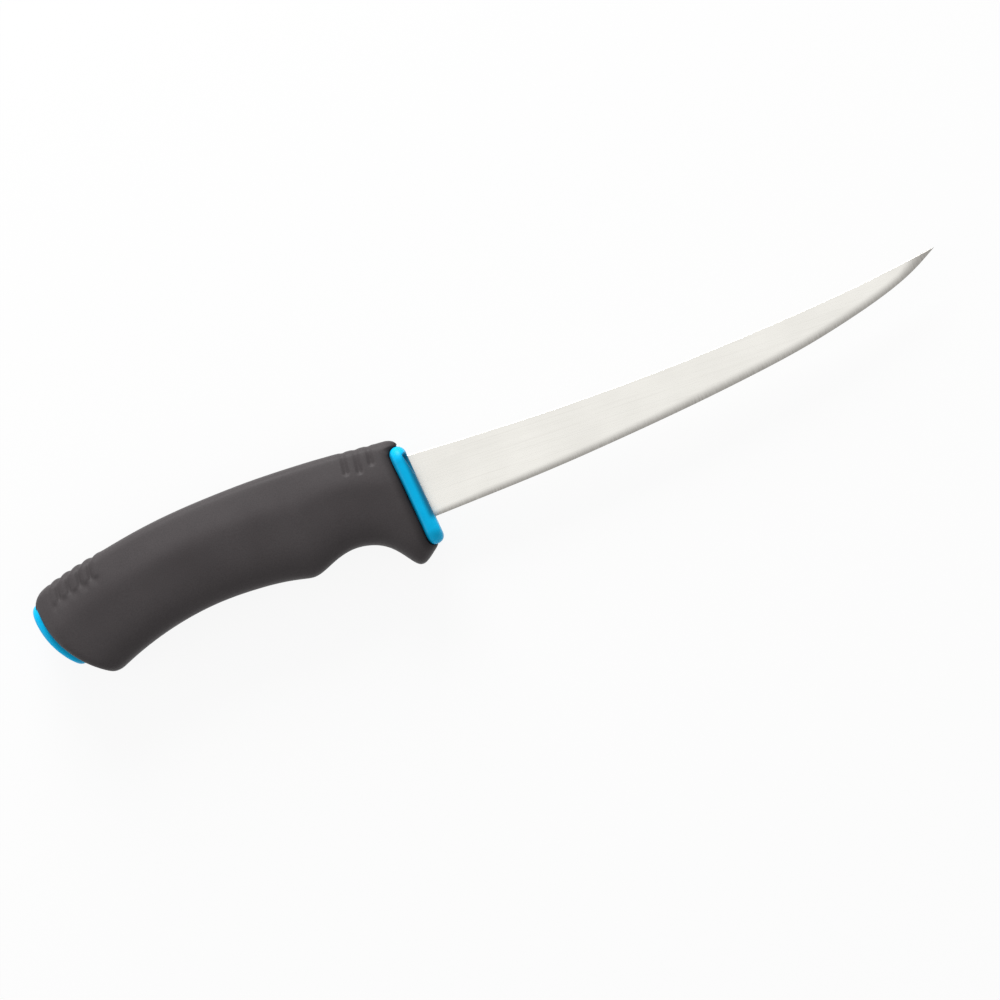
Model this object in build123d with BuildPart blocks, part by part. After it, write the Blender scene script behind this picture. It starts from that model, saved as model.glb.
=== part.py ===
"""Fillet knife: stainless blade, hard plastic core moulded round its tang, and a rubber grip over the core.

Frame, in millimetres: the knife lies on its side. +X runs along the root of the blade towards the tip,
+Y towards the spine and +Z through the thickness. The origin is the point where the middle of the blade
leaves the collar's front face.
"""

import math
import os

from build123d import *

os.makedirs("parts", exist_ok=True)


# Blade
blade_length = 178.6
heel_width = 21.3
tip_rise = 20.9
blade_thickness = 2.0
tip_thickness = 1.0
edge_thickness = 0.25
ricasso_length = 3.0

# The blade along its length: how far along, how far its middle has risen, how much of its width is left,
# and how much of its height the ground band above the edge takes
blade_shares = (
    (0.00, 0.000, 1.000, 0.55),
    (0.12, 0.021, 0.915, 0.62),
    (0.24, 0.053, 0.833, 0.72),
    (0.37, 0.118, 0.745, 0.82),
    (0.50, 0.206, 0.662, 0.92),
    (0.62, 0.315, 0.590, 1.00),
    (0.73, 0.440, 0.508, 1.00),
    (0.82, 0.575, 0.405, 0.96),
    (0.90, 0.725, 0.290, 0.88),
    (0.96, 0.875, 0.150, 0.80),
    (1.00, 1.000, 0.000, 0.75),
)
grind_height = 6.0
grind_bulge_share = 0.012
grind_margin = 0.25

# Tang
heel_depth = 2.5
tang_length = 92.0
tang_width = 13.0
tang_end_width = 10.0
tang_rise = 1.0
shoulder_radius = 1.5
tang_hole_diameter = 6.0
tang_hole_shares = (0.36, 0.62, 0.88)

# Collar of the core
collar_height = 33.5
collar_width = 20.8
collar_thickness = 5.2
collar_drop = 2.1
collar_lean = 6.6
collar_round_share = 0.48
oval_end_share = 0.87
mouth_margin = 0.8
mouth_depth = 0.8
notch_top = 11.5
notch_length = 7.0
notch_depth = 1.4
notch_end_depth = 0.3
notch_floor = 3.4

# Beam of the core
core_thickness = 13.5
core_edge_radius = 4.5
core_corner_radius = 6.0
core_cover = 3.0
window_length = 15.0
window_width = 8.0
window_turn = 19.0
window_shares = (0.84, -0.175)
locator_diameter = 4.5
locator_shares = (0.16, 0.50)

# Pad of the core at the butt
pad_height = 24.2
pad_width = 13.0
pad_proud = 2.2
pad_curve_radius = 28.0
pad_edge_radius = 1.5
pad_turn = 24.2
pad_root_share = 0.66

# Grip
grip_length = 128.4
grip_height = 32.4
grip_thickness = 22.2
grip_squareness = 2.8
section_points = 20
butt_curve_radius = 33.8
butt_curve_height = 4.25
butt_edge_radius = 2.5
corner_slope = 0.15
rim_gap = 0.3
rim_wall = 0.9

# The grip along its length: how far behind the collar, then spine, belly and half thickness
grip_shares = (
    (-0.031, 0.512, -0.475, 0.452),
    (-0.008, 0.519, -0.556, 0.453),
    (0.016, 0.525, -0.636, 0.455),
    (0.039, 0.528, -0.707, 0.456),
    (0.052, 0.530, -0.731, 0.457),
    (0.065, 0.531, -0.722, 0.457),
    (0.086, 0.537, -0.633, 0.456),
    (0.109, 0.543, -0.525, 0.454),
    (0.140, 0.550, -0.435, 0.451),
    (0.172, 0.558, -0.393, 0.449),
    (0.203, 0.564, -0.382, 0.448),
    (0.234, 0.569, -0.401, 0.449),
    (0.266, 0.572, -0.446, 0.452),
    (0.297, 0.574, -0.500, 0.457),
    (0.320, 0.575, -0.522, 0.461),
    (0.344, 0.575, -0.510, 0.466),
    (0.391, 0.573, -0.478, 0.476),
    (0.469, 0.560, -0.457, 0.491),
    (0.562, 0.534, -0.466, 0.499),
    (0.656, 0.491, -0.522, 0.500),
    (0.734, 0.437, -0.605, 0.497),
    (0.812, 0.370, -0.722, 0.489),
    (0.875, 0.315, -0.840, 0.482),
    (0.937, 0.244, -0.957, 0.474),
    (1.031, 0.120, -1.111, 0.460),
)

# The rows of the list above that the grip's front corner and the core's beam follow
corner_row = 4
crown_row = 16
groove_row = 10
palm_row = 14
waist_row = 19
butt_row = 24

# Ribs and grooves across the spine
rib_count = 5
rib_pitch = 3.9
rib_radius = 1.1
rib_height = 0.6
rib_start_share = 0.814
rib_lean = 22.0
groove_count = 3
groove_pitch = 4.3
groove_radius = 1.1
groove_depth = 0.6
groove_start_share = 0.096
groove_lean = 4.0
rib_reach = 62.0
rib_points = 9
end_sink = 1.3

# Cuts run past what they cut by this much
overrun = 5.0


def cross_plane(along):
    """Plane square to the X axis; its own x runs to the spine and its own y through the knife."""
    return Plane(origin=(along, 0, 0), x_dir=(0, 1, 0), z_dir=(1, 0, 0))


def rounded_section(middle, half_height, half_width, turn):
    """Point of a cross-section at an angle from the spine: an ellipse, squared off."""
    power = 2 / grip_squareness
    across = math.copysign(abs(math.cos(turn)) ** power, math.cos(turn))
    through = math.copysign(abs(math.sin(turn)) ** power, math.sin(turn))
    return (middle + half_height * across, half_width * through)


def draw_oval(half_length, half_width):
    """Draws an oval of four arcs that run into each other, long along x, in the current line."""
    end_radius = oval_end_share * half_width
    spare = half_length**2 + half_width**2 - 2 * half_length * end_radius
    flank_radius = spare / (2 * (half_width - end_radius))
    reach = flank_radius / (flank_radius - end_radius)
    along = reach * (half_length - end_radius)
    across = half_width - flank_radius + reach * (flank_radius - half_width)
    for side in (1, -1):
        ThreePointArc((-along, side * across), (0, side * half_width), (along, side * across))
        ThreePointArc((side * along, across), (side * half_length, 0), (side * along, -across))


def closed_section(middle, half_height, half_width):
    """Points all the way round a cross-section, evenly turned."""
    turns = [2 * math.pi * step / section_points for step in range(section_points)]
    return [rounded_section(middle, half_height, half_width, turn) for turn in turns]


def blend(along, column):
    """Value in a column of the grip's table at a share of its length, in a straight line between the rows."""
    for low, high in zip(grip_shares, grip_shares[1:]):
        if along <= high[0]:
            break
    part = (along - low[0]) / (high[0] - low[0])
    return low[column] + part * (high[column] - low[column])


def skin_point(along, turn, raised):
    """Point raised off the grip's skin, at a distance behind the collar and an angle from the spine."""
    share = along / grip_length
    spine_height = blend(share, 1) * grip_height
    belly_height = blend(share, 2) * grip_height
    middle = (spine_height + belly_height) / 2
    half_height = (spine_height - belly_height) / 2
    half_width = blend(share, 3) * grip_thickness
    return rounded_section(middle, half_height + raised, half_width + raised, turn)


def rib_path(along, lean, raised, raised_at_ends):
    """Points across the spine, leaning back as they go down the flanks, sunk or lifted at the ends."""
    points = []
    for step in range(rib_points):
        part = 2 * step / (rib_points - 1) - 1
        turn = math.radians(rib_reach) * part
        lift = raised + (raised_at_ends - raised) * part**4
        spine_height = blend(along / grip_length, 1) * grip_height
        level = skin_point(along, turn, lift)[0]
        behind = along + math.tan(math.radians(lean)) * (spine_height - level)
        height, through = skin_point(behind, turn, lift)
        points.append((-behind, height, through))
    return points


def blade_point(row, side):
    """Point on the blade's outline: side 1 for the spine, -1 for the edge."""
    along, rise, width = row[:3]
    return (along * blade_length, rise * tip_rise + side * width * heel_width / 2)


def flank_height(along):
    """Half the blade's thickness at a distance along it: it gets thinner from the ricasso to the tip."""
    ground = max(along - ricasso_length, 0) / (blade_length - ricasso_length)
    return (blade_thickness - ground * (blade_thickness - tip_thickness)) / 2


# Blade, first the stamped blank with its tang
with BuildPart() as blank:
    with BuildSketch(Plane.XY.offset(-blade_thickness / 2)):
        with BuildLine():
            spine = Spline([blade_point(row, 1) for row in blade_shares])
            edge = Spline([blade_point(row, -1) for row in blade_shares])
            top = Line(spine @ 0, (-heel_depth, (spine @ 0).Y))
            heel = Line(top @ 1, (-heel_depth, (edge @ 0).Y))
            Line(heel @ 1, edge @ 0)
        make_face()
        with BuildLine():
            Polyline(
                (0, tang_rise + tang_width / 2),
                (-heel_depth, tang_rise + tang_width / 2),
                (-tang_length, tang_rise + tang_end_width / 2),
                (-tang_length, tang_rise - tang_end_width / 2),
                (-heel_depth, tang_rise - tang_width / 2),
                (0, tang_rise - tang_width / 2),
                close=True,
            )
        make_face()
    extrude(amount=blade_thickness)

    # The tang's end is round, and its shoulders have a radius
    tang_end = blank.faces().sort_by(Axis.X)[0].edges().filter_by(Axis.Z)
    fillet(tang_end, tang_end_width / 2 - edge_thickness)
    shoulders = [
        corner
        for corner in blank.edges().filter_by(Axis.Z)
        if abs(corner.center().X + heel_depth) < edge_thickness
        and abs(corner.center().Y - tang_rise) < tang_width / 2 + edge_thickness
    ]
    fillet(shoulders, shoulder_radius)

    # Holes that the core's plastic fills, so the tang is locked in
    for share in tang_hole_shares:
        with Locations((-share * tang_length, tang_rise)):
            Hole(tang_hole_diameter / 2)

    # Both flanks are ground thinner towards the tip, ahead of the ricasso
    for side in (1, -1):
        with BuildSketch(Plane.XZ):
            with BuildLine():
                Polyline(
                    (ricasso_length, side * blade_thickness / 2),
                    (blade_length, side * tip_thickness / 2),
                    (blade_length + overrun, side * tip_thickness / 2),
                    (blade_length + overrun, side * blade_thickness),
                    (ricasso_length, side * blade_thickness),
                    close=True,
                )
            make_face()
        extrude(amount=2 * heel_width, both=True, mode=Mode.SUBTRACT)

# The grind that forms the edge: a convex band, cut from both flanks, that runs past the blade at both ends
grind_rows = [(*blade_point(row, -1), row[3] * grind_height) for row in blade_shares]
heel_row, tip_row = grind_rows[0], grind_rows[-1]
tip_slope = (tip_row[1] - grind_rows[-2][1]) / (tip_row[0] - grind_rows[-2][0])
grind_rows.insert(0, (-2 * heel_depth, heel_row[1], heel_row[2]))
grind_rows.append((tip_row[0] + overrun, tip_row[1] + overrun * tip_slope, tip_row[2]))

with BuildPart() as grind:
    for along, low, height in grind_rows:
        thin = edge_thickness / 2
        flank = flank_height(along)
        climb = grind_margin * (flank - thin) / height
        under = low - heel_width / 4
        over = low + height + grind_margin
        with BuildSketch(cross_plane(along)):
            with BuildLine():
                bevel = ThreePointArc(
                    (low - grind_margin, thin - climb),
                    (low + height / 2, (thin + flank) / 2 + grind_bulge_share * height),
                    (over, flank + climb),
                )
                outside = 2 * blade_thickness
                Polyline(bevel @ 1, (over, outside), (under, outside), (under, thin - climb), bevel @ 0)
            make_face()
    loft()

with BuildPart() as blade:
    add(blank.part)
    add(grind.part, mode=Mode.SUBTRACT)
    add(grind.part.mirror(Plane.XY), mode=Mode.SUBTRACT)

blade.part.label = "blade"
export_step(blade.part, "parts/blade.step")

# Core of hard plastic, moulded in one shot round the tang: collar, beam and butt pad
collar_tilt = math.radians(collar_lean)
collar_out = Vector(math.cos(collar_tilt), math.sin(collar_tilt), 0)
collar_up = Vector(-math.sin(collar_tilt), math.cos(collar_tilt), 0)
collar_face = Plane(origin=(0, 0, 0), x_dir=collar_up, z_dir=collar_out)
collar_middle = collar_face.offset(-collar_thickness / 2)
collar_centre = -collar_thickness / 2 * collar_out - collar_drop * collar_up
collar_side = Plane(origin=(0, 0, 0), x_dir=collar_out, z_dir=(0, 0, 1))


def grip_point(row, column, inset):
    """Point in side view at a row of the grip's list, set in from its spine (column 1) or belly (column 2)."""
    shares = grip_shares[row]
    inward = -inset if column == 1 else inset
    return (-shares[0] * grip_length, shares[column] * grip_height + inward)


# The grip's butt is part of a round post that stands along Z, and the core's ends follow it
butt_centre = Vector(butt_curve_radius - grip_length, butt_curve_height, 0)
pad_angle = math.radians(pad_turn)
pad_out = Vector(-math.cos(pad_angle), -math.sin(pad_angle), 0)
pad_up = Vector(-math.sin(pad_angle), math.cos(pad_angle), 0)
pad_root = butt_centre + pad_root_share * butt_curve_radius * pad_out
pad_centre = butt_centre + (butt_curve_radius + pad_proud - pad_curve_radius) * pad_out

beam_front_top = collar_middle.from_local_coords(Vector(collar_height / 2 - collar_drop - core_cover, 0, 0))
beam_front_low = collar_middle.from_local_coords(Vector(core_cover - collar_drop - collar_height / 2, 0, 0))

with BuildPart() as beam:
    with BuildSketch(Plane.XY.offset(-core_thickness / 2)):
        with BuildLine():
            crown = ThreePointArc(
                beam_front_top, grip_point(crown_row, 1, core_cover), grip_point(butt_row, 1, core_cover)
            )
            palm = ThreePointArc(
                grip_point(butt_row, 2, core_cover),
                grip_point(waist_row, 2, core_cover),
                grip_point(palm_row, 2, core_cover),
            )
            ThreePointArc(palm @ 1, grip_point(groove_row, 2, core_cover), beam_front_low)
            Line(crown @ 1, palm @ 0)
            Line(beam_front_low, beam_front_top)
        make_face()
        with BuildSketch(mode=Mode.SUBTRACT):
            with Locations((butt_centre.X - grip_length / 2, butt_centre.Y)):
                Rectangle(grip_length, 2 * grip_length)
            with Locations(butt_centre):
                Circle(butt_curve_radius - core_cover, mode=Mode.SUBTRACT)
    extrude(amount=core_thickness)
    corners = beam.edges().filter_by(Axis.Z).sort_by(Axis.X)[:3]
    fillet(corners, core_corner_radius)
    flanks = beam.faces().filter_by(Axis.Z)
    fillet(flanks.edges(), core_edge_radius)

with BuildPart() as collar:
    with BuildSketch(collar_face):
        with Locations((-collar_drop, 0)):
            SlotOverall(collar_height, collar_width)
    extrude(amount=-collar_thickness)
    fillet(collar.edges(), collar_round_share * collar_thickness)

with BuildPart() as pad:
    with BuildSketch(Plane(origin=pad_root, x_dir=pad_up, z_dir=pad_out)):
        with BuildLine():
            draw_oval(pad_height / 2, pad_width / 2)
        make_face()
    extrude(amount=butt_curve_radius)
    with BuildSketch(Plane.XY):
        with Locations(pad_centre):
            Circle(pad_curve_radius)
    extrude(amount=pad_width, both=True, mode=Mode.INTERSECT)
    fillet(pad.faces().sort_by(Axis.X)[0].edges(), pad_edge_radius)

with BuildPart() as handle_core:
    add(beam.part)
    add(collar.part)
    add(pad.part)

    # Window that the rubber runs through, and the holes that the pins in the mould leave at the tang
    with BuildSketch(Plane.XY):
        with Locations((-window_shares[0] * grip_length, window_shares[1] * grip_height)):
            SlotOverall(window_length, window_width, rotation=window_turn)
    extrude(amount=core_thickness, both=True, mode=Mode.SUBTRACT)
    for share in locator_shares:
        with BuildSketch(Plane.XY):
            with Locations((-share * tang_length, tang_rise)):
                Circle(locator_diameter / 2)
        extrude(amount=core_thickness, both=True, mode=Mode.SUBTRACT)

    # The mouth round the blade is set back a little, and the plastic fits the steel behind it
    with BuildSketch(collar_face):
        RectangleRounded(heel_width + 2 * mouth_margin, blade_thickness + 2 * mouth_margin, mouth_margin)
    extrude(amount=-mouth_depth, mode=Mode.SUBTRACT)

    # A wedge is cut from the collar's front edge on both flanks, beside the blade's spine
    for side in (1, -1):
        with BuildSketch(collar_side.offset(side * notch_floor)):
            Polygon(
                (overrun, notch_top),
                (-notch_depth, notch_top),
                (-notch_end_depth, notch_top - notch_length),
                (overrun, notch_top - notch_length),
                align=None,
            )
        extrude(amount=side * collar_width, mode=Mode.SUBTRACT)
    add(blade.part, mode=Mode.SUBTRACT)

handle_core.part.label = "handle_core"
export_step(handle_core.part, "parts/handle_core.step")

# Ribs that stand up across the grip's spine near the butt
with BuildPart() as ribs:
    for step in range(rib_count):
        behind = rib_start_share * grip_length + step * rib_pitch
        with BuildLine() as rib_line:
            Spline(rib_path(behind, rib_lean, rib_height - rib_radius, -end_sink))
        with BuildSketch(Plane(origin=rib_line.line @ 0, z_dir=rib_line.line % 0)):
            Circle(rib_radius)
        sweep(path=rib_line.line)

# Grooves that are cut across its spine near the collar
with BuildPart() as grooves:
    for step in range(groove_count):
        behind = groove_start_share * grip_length + step * groove_pitch
        with BuildLine() as groove_line:
            Spline(rib_path(behind, groove_lean, groove_radius - groove_depth, end_sink))
        with BuildSketch(Plane(origin=groove_line.line @ 0, z_dir=groove_line.line % 0)):
            Circle(groove_radius)
        sweep(path=groove_line.line)

# Grip of soft rubber, moulded over the core
corner_start = grip_point(corner_row, 1, 0)
corner_end = collar_side.from_local_coords(
    Vector(-collar_thickness / 2, collar_height / 2 - collar_drop + rim_wall, 0)
)

with BuildPart() as grip:
    for share, spine_share, belly_share, half_share in grip_shares:
        spine_height = spine_share * grip_height
        belly_height = belly_share * grip_height
        middle = (spine_height + belly_height) / 2
        half_height = (spine_height - belly_height) / 2
        with BuildSketch(cross_plane(-share * grip_length)):
            with BuildLine():
                Spline(closed_section(middle, half_height, half_share * grip_thickness), periodic=True)
            make_face()
    loft()

    # The butt is cut to its curve and its edge rounded
    with BuildSketch(Plane.XY):
        with Locations((butt_centre.X - grip_length / 2, butt_centre.Y)):
            Rectangle(grip_length, 2 * grip_length)
        with Locations(butt_centre):
            Circle(butt_curve_radius, mode=Mode.SUBTRACT)
    extrude(amount=grip_thickness, both=True, mode=Mode.SUBTRACT)
    fillet(grip.faces().sort_by(Axis.X)[0].edges(), butt_edge_radius)

    # The front ends at the collar's middle, with its top corner rounded down to the collar
    with BuildSketch(Plane.XY):
        with BuildLine():
            corner = TangentArc(corner_start, corner_end, tangent=(1, -corner_slope))
            low = collar_side.from_local_coords(Vector(-collar_thickness / 2, -grip_height, 0))
            Line(corner @ 1, low)
            above = (corner_start[0], grip_height)
            Polyline(low, (grip_height, low.Y), (grip_height, grip_height), above, corner_start)
        make_face()
    extrude(amount=grip_thickness, both=True, mode=Mode.SUBTRACT)

    # A slot across the knife clears the collar's sides
    with BuildSketch(Plane(origin=collar_centre, x_dir=collar_up, z_dir=(0, 0, 1))):
        SlotOverall(collar_height + 2 * rim_gap, collar_thickness + 2 * rim_gap)
    extrude(amount=grip_thickness, both=True, mode=Mode.SUBTRACT)

    add(ribs.part)
    add(grooves.part, mode=Mode.SUBTRACT)
    add(handle_core.part, mode=Mode.SUBTRACT)
    add(blade.part, mode=Mode.SUBTRACT)

grip.part.label = "grip"
export_step(grip.part, "parts/grip.step")
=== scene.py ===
"""Fillet knife in its finished materials: a numpy-made blade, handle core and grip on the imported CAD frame.

Frame, in metres: the knife lies on its side. +X runs along the root of the blade towards the tip, +Y
towards the spine and +Z through the thickness. The shapes are worked out in millimetres and scaled on the
way out.
"""

import math

import bpy
import numpy as np
from mathutils import Matrix, Vector


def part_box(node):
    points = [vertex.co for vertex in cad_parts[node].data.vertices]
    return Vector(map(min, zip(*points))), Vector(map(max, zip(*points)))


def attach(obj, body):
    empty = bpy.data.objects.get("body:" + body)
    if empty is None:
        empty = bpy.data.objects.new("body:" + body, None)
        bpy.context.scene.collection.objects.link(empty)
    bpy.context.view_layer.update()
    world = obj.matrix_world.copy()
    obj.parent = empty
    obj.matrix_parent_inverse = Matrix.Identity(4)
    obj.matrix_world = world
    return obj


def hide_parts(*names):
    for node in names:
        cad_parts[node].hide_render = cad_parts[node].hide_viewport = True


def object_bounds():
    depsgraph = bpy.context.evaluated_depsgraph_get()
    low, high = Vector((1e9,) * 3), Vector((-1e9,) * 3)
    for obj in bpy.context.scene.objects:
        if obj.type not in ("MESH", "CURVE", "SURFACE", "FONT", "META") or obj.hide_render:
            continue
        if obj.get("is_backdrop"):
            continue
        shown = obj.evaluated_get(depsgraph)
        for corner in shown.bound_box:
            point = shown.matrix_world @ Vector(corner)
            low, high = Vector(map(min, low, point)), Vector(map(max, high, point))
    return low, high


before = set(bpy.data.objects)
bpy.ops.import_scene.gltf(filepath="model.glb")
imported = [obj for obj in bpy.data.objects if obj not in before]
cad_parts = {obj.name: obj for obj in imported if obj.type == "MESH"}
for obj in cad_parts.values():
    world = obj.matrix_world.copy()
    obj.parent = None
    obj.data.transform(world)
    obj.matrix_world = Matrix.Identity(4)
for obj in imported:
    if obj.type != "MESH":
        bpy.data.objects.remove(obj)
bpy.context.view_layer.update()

bl_info = {
    "name": "Fillet knife looks",
    "version": (1, 0, 0),
    "blender": (4, 5, 0),
    "location": "View3D > Sidebar > Knife",
    "description": "Builds the fillet knife's blade, handle core, grip and stage",
    "category": "Object",
}

MM = 0.001

# On a closed end, neighbours nearer than this are one point, in mm
ZIP_GAP = 0.001

# Points of a dense outline, before they are spread evenly
OUTLINE_COUNT = 1440

blade_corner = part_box("blade")[1] / MM
core_low, core_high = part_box("handle_core")

# Blade, in mm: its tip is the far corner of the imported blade
POINT_HALF = 0.03
BLADE_LENGTH = blade_corner.x
TIP_RISE = blade_corner.y - POINT_HALF
BLADE_START = -2.4
RICASSO = 3.0
TIP_THICKNESS = 1.0
EDGE_THICKNESS = 0.25
GRIND_BULGE = 0.012
SPINE_SUPPORT = 0.06
TIP_ZONES = (150.0, 174.0)
TIP_SPACING = 1.6
TIP_LAST = 0.02
TIP_BEVEL_SHARE = 0.2
TIP_BAND_SHARE = 0.9

# Along the blade, as shares: the rise of its middle, its width and the height of its grind
BLADE_SHARES = np.array([
    (0.00, 0.000, 1.000, 0.55),
    (0.12, 0.021, 0.915, 0.62),
    (0.24, 0.053, 0.833, 0.72),
    (0.37, 0.118, 0.745, 0.82),
    (0.50, 0.206, 0.662, 0.92),
    (0.62, 0.315, 0.590, 1.00),
    (0.73, 0.440, 0.508, 1.00),
    (0.82, 0.575, 0.405, 0.96),
    (0.90, 0.725, 0.290, 0.88),
    (0.96, 0.875, 0.150, 0.80),
    (1.00, 1.000, 0.000, 0.75),
])

# How many rows each zone of the blade has, and how many points above and in the ground band
BLADE_ROWS = (300, 110, 50)
UPPER_COUNT = 9
BAND_COUNT = 23

# Honing and painted reflection above the edge, in mm: where it is along the blade, and how high up the darker
# tone has faded out
HONED_AND_REFLECTION_HEIGHTS = np.array([
    (0.0, 2.1),
    (20.0, 2.8),
    (60.0, 2.9),
    (95.0, 3.6),
    (130.0, 3.4),
    (165.0, 3.3),
    (169.0, 4.6),
    (173.0, 8.0),
    (178.6, 12.0),
])

# Grip, as shares of its length and height: how far behind the collar, then spine, belly and half thickness
GRIP_LENGTH = 128.4
GRIP_HEIGHT = 32.4
GRIP_SHARES = np.array([
    (-0.031, 0.512, -0.475, 0.452),
    (-0.008, 0.519, -0.556, 0.453),
    (0.016, 0.525, -0.636, 0.455),
    (0.039, 0.528, -0.707, 0.456),
    (0.052, 0.530, -0.731, 0.457),
    (0.065, 0.531, -0.722, 0.457),
    (0.086, 0.537, -0.633, 0.456),
    (0.109, 0.543, -0.525, 0.454),
    (0.140, 0.550, -0.435, 0.451),
    (0.172, 0.558, -0.393, 0.449),
    (0.203, 0.564, -0.382, 0.448),
    (0.234, 0.569, -0.401, 0.449),
    (0.266, 0.572, -0.446, 0.452),
    (0.297, 0.574, -0.500, 0.457),
    (0.320, 0.575, -0.522, 0.461),
    (0.344, 0.575, -0.510, 0.466),
    (0.391, 0.573, -0.478, 0.476),
    (0.469, 0.560, -0.457, 0.491),
    (0.562, 0.534, -0.466, 0.499),
    (0.656, 0.491, -0.522, 0.500),
    (0.734, 0.437, -0.605, 0.497),
    (0.812, 0.370, -0.722, 0.489),
    (0.875, 0.315, -0.840, 0.482),
    (0.937, 0.244, -0.957, 0.474),
    (1.031, 0.120, -1.111, 0.460),
])
SQUARENESS = 3.2
SHOULDER_WIDTH = 1.2
SHOULDER_SLOPE = 0.6
SHOULDER_SOFTNESS = 0.04
# How far in mm the painted shade reaches onto the rubber from the collar's slot
SEAM_SHADE_REACH = 3.5
CORNER_ROW = 5
CORNER_RISE = 0.05
LIP_REACH = 0.7
LIP_WALL = 1.0
RIM_THINNING = 0.45

# Where the grip's two cuts are looked for: first and last place in mm behind the collar, and how many
FRONT_SEARCH = (14, -5, 1200)
BUTT_SEARCH = (85, 140, 1400)

# Points round the grip and rows along it: the grooves' close rows as first, last and count, the plain
# rows as first, end and step, and how many the two ends, their rims and their walls have
GRIP_COLUMNS = 320
GROOVE_ROWS = (10, 24, 62)
PLAIN_ROWS = (24.9, 101, 0.95)
FRONT_COUNT = 24
REAR_COUNT = 106
FRONT_RIM_COUNT = 6
BUTT_RIM_COUNT = 9
WALL_COUNT = 8

# Collar, in mm, in its own leaning axes: out of its front face, and up along it to the spine
COLLAR_THICKNESS = 5.2
COLLAR_DROP = 2.1
COLLAR_LEAN = math.radians(6.6)
COLLAR_CORNER = 5.0
NOSE_RADIUS = 0.48 * COLLAR_THICKNESS
MOUTH_MARGIN = 0.8
MOUTH_DEPTH = 0.8
MOUTH_LIP = 0.15
MOUTH_CORNER = 0.05
NOTCH_TOP = 11.5
NOTCH_LENGTH = 7.0
NOTCH_DEPTH = 1.4
NOTCH_END_DEPTH = 0.3
NOTCH_FLOOR = 3.4
NOTCH_SOFTNESS = 0.3
# Painted shade on the collar, in mm: its start and end out of the front face, where it fades in near the
# foot, and its start, end and strength at the back
FRONT_SHADE_START = -2.3
FRONT_SHADE_END = -0.5
FRONT_SHADE_FOOT = (-12.0, -9.0)
BACK_SHADE_START = -4.0
BACK_SHADE_END = -5.0
BACK_SHADE_SHARE = 0.6
COLLAR_COLUMNS = 480
MOUTH_LIP_COUNT = 4
FACE_COUNT = 26
NOSE_COUNT = 15

# Butt of the grip and the pad that stands out of it, in mm
BUTT_RADIUS = 33.8
BUTT_CENTRE = (BUTT_RADIUS - GRIP_LENGTH, 4.25)
PAD_HEIGHT = 24.2
PAD_WIDTH = 13.0
PAD_PROUD = 2.2
PAD_CURVE = 28.0
PAD_EDGE = 1.5
PAD_TURN = math.radians(24.2)
PAD_FOOT = 4.0
PAD_ROUND_SHARE = 0.87
PAD_SIDE = 1.25 * PAD_EDGE
PAD_COLUMNS = 240
PAD_EDGE_COUNT = 8
PAD_FACE_COUNT = 9

# Ribs near the butt, in mm: round fingers over the spine, with a narrow valley behind and under each one
RIB_COUNT = 5
RIB_PITCH = 3.85
RIB_START = 104.4
RIB_SHIFT = 1.9
RIB_TURN = 1.0
RIB_DROP = 5.5
RIB_RADIUS = RIB_PITCH / 2
RIB_CREST = 1.1
VALLEY_HALF = 0.75
VALLEY_GROWTH = 0.9
VALLEY_FADE = 0.55
VALLEY_ONSET = (-0.8, 0.3)

# Grooves near the collar, in mm: how far down from the spine each one ends
GROOVE_ENDS = (5.6, 7.2, 6.6)
GROOVE_PITCH = 4.2
GROOVE_START = 12.3
GROOVE_LEAN = math.tan(math.radians(4.0))
GROOVE_HALF = 1.5
GROOVE_GROWTH = 1.8

# Widths of the patterns in the materials, in mm
BRUSH_SPACING = 1 / 3
BRUSH_LENGTH = 41.67
CLOUD_WIDTH = 22.22
MARK_SPACING = 1 / 3
MARK_LENGTH = 4.0
FLOW_WIDTH = 5.556
PEEL_WIDTH = 1.111
PATCH_WIDTH = 16.67
GRAIN_WIDTH = 0.3571

# The photograph: its width on the object in mm, the point at its middle, and the turn of the blade's root
VIEW_WIDTH = 318.0
VIEW_MIDDLE = (22.35, -12.12)
VIEW_TURN = math.radians(18.3)

# Stage, in metres and watts: each soft box has its place, its side and its power
FLOOR_HALF = 4.0
FLOOR_GLOW = 0.9
SKY_LIGHT = 0.5
SOFT_BOXES = {
    "soft box beyond the spine": ((0.05, 1.13, 0.36), 0.7, 19.0),
    "soft box beyond the butt": ((-0.75, 0.0, 0.15), 0.5, 1.4),
}
CAMERA_HEIGHT = 1.5
SENSOR_WIDTH = 36.0
CLIP_RANGE = (0.05, 20.0)


def linear(hex_colour):
    """sRGB hex turned to linear RGBA."""
    values = [int(hex_colour[i:i + 2], 16) / 255 for i in (1, 3, 5)]
    return [v / 12.92 if v <= 0.04045 else ((v + 0.055) / 1.055) ** 2.4 for v in values] + [1.0]


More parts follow.
